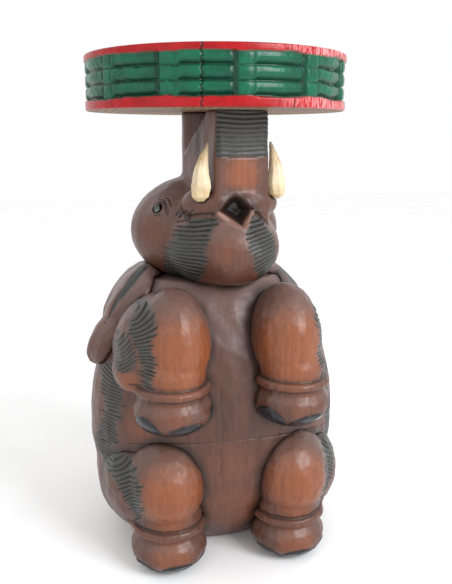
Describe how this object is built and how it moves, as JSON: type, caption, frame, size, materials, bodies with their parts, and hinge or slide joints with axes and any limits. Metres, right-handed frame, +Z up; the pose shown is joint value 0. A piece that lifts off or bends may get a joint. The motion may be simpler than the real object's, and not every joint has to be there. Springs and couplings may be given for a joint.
{
  "type": "carved wooden elephant stand",
  "caption": "Carved wooden elephant sitting upright on its haunches, forefeet over its belly, carrying a round painted table top on its raised trunk.",
  "frame": {"origin": "on the floor, under the centre of the round top", "axes": "+Z up, the elephant looks along -Y, its own left side is at +X"},
  "size_m": [0.2702, 0.254, 0.5],
  "materials": {
    "stained_wood": "satin red-brown stain, rubbed orange-brown on the high places, with black brushed hatching",
    "painted_wood": "glossy green enamel on the carved band, red rims, bare grey-brown underside",
    "cream_tusk": "cream paint worn to honey brown",
    "eye_bead": "small dark grey-green bead",
    "dowel_wood": "bare birch dowel"
  },
  "bodies": {
    "root": {"upper_body": "stained_wood", "lower_body": "stained_wood", "head": "stained_wood", "foreleg_left": "stained_wood", "foreleg_right": "stained_wood", "hind_leg_left": "stained_wood", "hind_leg_right": "stained_wood", "ear_left": "stained_wood", "ear_right": "stained_wood", "round_top": "painted_wood", "tusk_left": "cream_tusk", "tusk_right": "cream_tusk", "eye_left": "eye_bead", "eye_right": "eye_bead", "top_dowel_front": "dowel_wood", "top_dowel_rear": "dowel_wood", "neck_dowel_left": "dowel_wood", "neck_dowel_right": "dowel_wood", "lap_dowel_left": "dowel_wood", "lap_dowel_right": "dowel_wood", "foreleg_dowel_left": "dowel_wood", "foreleg_dowel_right": "dowel_wood", "hind_leg_dowel_left": "dowel_wood", "hind_leg_dowel_right": "dowel_wood", "ear_peg_left": "dowel_wood", "ear_peg_right": "dowel_wood"}
  },
  "joints": []
}
